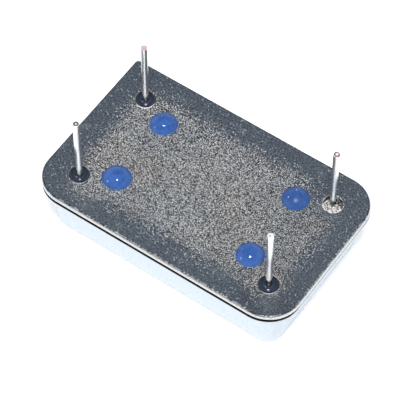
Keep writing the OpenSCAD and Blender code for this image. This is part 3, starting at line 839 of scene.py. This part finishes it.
def capacitor_look():
    """Tan ceramic body between two tinned ends."""
    look = Look("capacitor_body")
    grain = look.noise(8.0, 4)
    middle, _, half = plan_mm("bypass_capacitor")
    reach = look.math("ABSOLUTE", look.math("SUBTRACT", look.x, middle))
    ends = look.span(reach, half - 0.42, half - 0.38)
    body = look.mix(grain, (0.33, 0.20, 0.10), (0.45, 0.29, 0.16))
    tin = look.mix(grain, (0.62, 0.62, 0.60), (0.80, 0.80, 0.78))
    look.bump(grain, 0.2, 0.02)
    rough = look.add(look.times(grain, 0.2), 0.3)
    return look.finish(look.mix(ends, body, tin), rough, metallic=ends)


# Colours of painted reflections and highlights along the leads
PAINTED_DARK_REFLECTION, PAINTED_GREY_REFLECTION = (0.11, 0.118, 0.13), (0.32, 0.33, 0.345)
PAINTED_PALE_SHEEN, PAINTED_CORE_HIGHLIGHT = (0.76, 0.78, 0.80), (0.90, 0.91, 0.92)
header_material = header_look()
can_material = can_look()
lead_materials = {
    "1": lead_look(
        "1", (0.60, 0.40, 0.45), (0.54, 0.34, 0.39), ring_r=0.12, ring_w=0.06, foot=0.4, wipe=30,
        base_rough=0.1, streaks=[
            (-112, 40, BODY_H, PAINTED_GREY_REFLECTION, 0.7), (-18, 27, BODY_H, PAINTED_DARK_REFLECTION, 0.4),
            (-56, 13, BODY_H, PAINTED_CORE_HIGHLIGHT, 0.15)]),
    "7": lead_look(
        "7", (0.80, 0.75, 0.78), (0.20, 0.06, 0.11), ring_r=0.165, ring_w=0.08, foot=0.75, wipe=28,
        base_rough=0.1, ring_off=(0.01, 0.03), streaks=[
            (-118, 42, BODY_H + 0.2, PAINTED_DARK_REFLECTION, 0.4), (-60, 17, BODY_H, PAINTED_PALE_SHEEN, 0.5)]),
    "8": lead_look(
        "8", (0.64, 0.68, 0.69), (0.22, 0.25, 0.26), ring_r=0.0, ring_w=0.07, foot=0.75, wipe=48,
        base_rough=0.12, ring_off=(-0.03, -0.06), streaks=[(-55, 20, BODY_H, PAINTED_PALE_SHEEN, 0.5)]),
    "14": lead_look(
        "14", (0.66, 0.69, 0.72), (0.08, 0.095, 0.11), ring_r=0.13, ring_w=0.08, foot=0.3, wipe=30,
        base_rough=0.12, streaks=[
            (-36, 16, BODY_H, PAINTED_PALE_SHEEN, 0.5), (14, 32, BODY_H, PAINTED_DARK_REFLECTION, 0.4),
            (-52, 14, BODY_H, PAINTED_CORE_HIGHLIGHT, 0.15)]),
}
glass_material = glass_look()
bead_material = bead_look("bead_cobalt_glass")
dull_x, dull_y, _ = BEADS["7"]
# Bead 7 is dull; the last of its specks is a painted highlight of the fill lamp
dull_bead_material = bead_look("bead_cobalt_dull", dull=0.24, specks_and_glints=[
    (dull_x - 0.16, dull_y + 0.3, 0.06), (dull_x - 0.19, dull_y + 0.62, 0.07),
    (dull_x - 0.32, dull_y - 0.45, 0.055)])

build_header(header_material)
build_can(can_material)
for lead in LEADS:
    build_lead(lead, lead_materials[lead])
    build_bead(lead, dull_bead_material if lead == "7" else bead_material)
for lead in ("1", "8", "14"):
    build_seal(lead, glass_material)
build_braze(braze_look())

inner_looks = {
    "substrate_board": plain_look(
        "board_alumina", (0.72, 0.71, 0.67), (0.86, 0.85, 0.82), scale=12.0, metallic=0.0, rough=0.5),
    "film_conductors": plain_look(
        "film_fired_gold", (0.70, 0.47, 0.17), (0.86, 0.62, 0.27), scale=16.0, metallic=1.0, rough=0.4),
    "quartz_blank": plain_look(
        "quartz_polished", (0.70, 0.76, 0.80), (0.82, 0.87, 0.90), scale=2.0, metallic=0.0, rough=0.15,
        bump=0.02),
    "electrode_upper": plain_look(
        "electrode_silver", (0.78, 0.77, 0.75), (0.92, 0.91, 0.89), scale=14.0, metallic=1.0, rough=0.25,
        bump=0.1),
    "crystal_clip_left": plain_look(
        "clip_nickel_silver", (0.56, 0.53, 0.46), (0.72, 0.69, 0.61), scale=9.0, metallic=1.0, rough=0.3),
    "crystal_bond_left": plain_look(
        "bond_silver_epoxy", (0.30, 0.30, 0.29), (0.48, 0.47, 0.45), scale=18.0, metallic=0.4, rough=0.55,
        bump=0.4),
    "oscillator_ic": plain_look(
        "die_silicon", (0.10, 0.11, 0.13), (0.19, 0.20, 0.24), scale=20.0, metallic=0.6, rough=0.25,
        bump=0.05),
    "bond_wires": plain_look(
        "wire_drawn_gold", (0.85, 0.58, 0.20), (0.96, 0.72, 0.32), scale=25.0, metallic=1.0, rough=0.25,
        bump=0.05),
    "pin_solder_1": plain_look(
        "solder_tin_lead", (0.46, 0.46, 0.45), (0.70, 0.70, 0.68), scale=7.0, metallic=1.0, rough=0.32),
    "bypass_capacitor": capacitor_look(),
}
same_looks = {
    "electrode_lower": "electrode_upper", "crystal_clip_right": "crystal_clip_left",
    "crystal_bond_right": "crystal_bond_left", "pin_solder_7": "pin_solder_1",
    "pin_solder_8": "pin_solder_1", "pin_solder_14": "pin_solder_1",
}
for node in (*inner_looks, *same_looks):
    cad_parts[node].material_slots[0].material = inner_looks[same_looks.get(node, node)]

# Camera, fitted to the photograph: degrees, millimetres from the header's middle, and pixels

AZIMUTH, ELEVATION, ROLL = math.radians(34.7593), math.radians(55.6372), math.radians(0.0376)
CAMERA_BACK, CAMERA_RIGHT, CAMERA_UP = 160.694, -0.36742, -0.7343
FOCAL_PX, PICTURE_PX, SENSOR_W = 2413.577, 400, 36
back = Vector((
    math.sin(AZIMUTH) * math.cos(ELEVATION), -math.cos(AZIMUTH) * math.cos(ELEVATION), math.sin(ELEVATION)))
level = Vector((math.cos(AZIMUTH), math.sin(AZIMUTH), 0))
upright = back.cross(level)
right = level * math.cos(ROLL) + upright * math.sin(ROLL)
up = upright * math.cos(ROLL) - level * math.sin(ROLL)
spot = back * CAMERA_BACK + right * CAMERA_RIGHT + up * CAMERA_UP + Vector((0, 0, BODY_H))
camera = new_object("camera", bpy.data.cameras.new("camera"))
camera.data.sensor_width = SENSOR_W
camera.data.lens = SENSOR_W * FOCAL_PX / PICTURE_PX
camera.data.clip_start, camera.data.clip_end = 0.01, 10
camera.matrix_world = Matrix((
    (right.x, up.x, back.x, spot.x * MM), (right.y, up.y, back.y, spot.y * MM),
    (right.z, up.z, back.z, spot.z * MM), (0, 0, 0, 1)))
bpy.context.scene.camera = camera

# Floor, a disc of white paper just under the part, in metres

FLOOR_R, FLOOR_GAP = 2.0, 0.00002
floor_mesh = bpy.data.meshes.new("floor")
floor_shape = bmesh.new()
bmesh.ops.create_circle(floor_shape, cap_ends=True, radius=FLOOR_R, segments=96)
floor_shape.to_mesh(floor_mesh)
floor_shape.free()
floor = new_object("floor", floor_mesh)
floor.location.z = -FLOOR_GAP
paper = bpy.data.materials.new("floor_paper")
paper.use_nodes = True
paper_shader = paper.node_tree.nodes["Principled BSDF"]
paper_shader.inputs["Base Color"].default_value = (0.76, 0.765, 0.77, 1)
paper_shader.inputs["Roughness"].default_value = 0.9
paper_shader.inputs["Specular IOR Level"].default_value = 0.0
paper_shader.inputs["Emission Color"].default_value = (0.955, 0.98, 1.0, 1)
paper_shader.inputs["Emission Strength"].default_value = 0.53
floor_mesh.materials.append(paper)

# Light, from a sky that is bright low down and two lamps

LAMP_DISTANCE = 0.4
SKY_STOPS = [
    (0.0, (0.95, 0.96, 0.98)), (0.40, (0.92, 0.93, 0.95)), (0.64, (0.17, 0.20, 0.25)),
    (0.78, (0.10, 0.126, 0.168)), (1.0, (0.14, 0.17, 0.21)),
]
world = bpy.data.worlds.new("studio")
bpy.context.scene.world = world
world.use_nodes = True
sky = world.node_tree
coords = sky.nodes.new("ShaderNodeTexCoord")
split = sky.nodes.new("ShaderNodeSeparateXYZ")
sky.links.new(coords.outputs["Generated"], split.inputs[0])
height = sky.nodes.new("ShaderNodeValToRGB")
sky.links.new(split.outputs[2], height.inputs[0])
set_stops(height.color_ramp, SKY_STOPS)
sky.links.new(height.outputs[0], sky.nodes["Background"].inputs["Color"])
sky.nodes["Background"].inputs["Strength"].default_value = 1.0


def lamp(name, direction, size, power, colour):
    """A round lamp that shines on the part from a direction. Sizes and distances are in metres."""
    light = bpy.data.lights.new(name, "AREA")
    light.shape = "DISK"
    light.size = size
    light.energy = power
    light.color = colour
    obj = new_object(name, light)
    way = Vector(direction).normalized()
    obj.location = way * LAMP_DISTANCE + Vector((0, 0, BODY_H * MM))
    obj.rotation_mode = "QUATERNION"
    obj.rotation_quaternion = way.to_track_quat("Z", "Y")


KEY_TILT = math.radians(20)
toward = Vector((math.sin(AZIMUTH), -math.cos(AZIMUTH), 0))
key_way = toward * math.sin(KEY_TILT) + Vector((0, 0, math.cos(KEY_TILT)))
fill_way = -level * 0.93 + toward * 0.16 + Vector((0, 0, 0.32))
lamp("key", key_way, size=0.08, power=1.5, colour=(1.0, 0.985, 0.96))
lamp("fill", fill_way, size=0.07, power=0.2, colour=(0.9, 0.95, 1.0))

bpy.context.scene.view_settings.view_transform = "Standard"
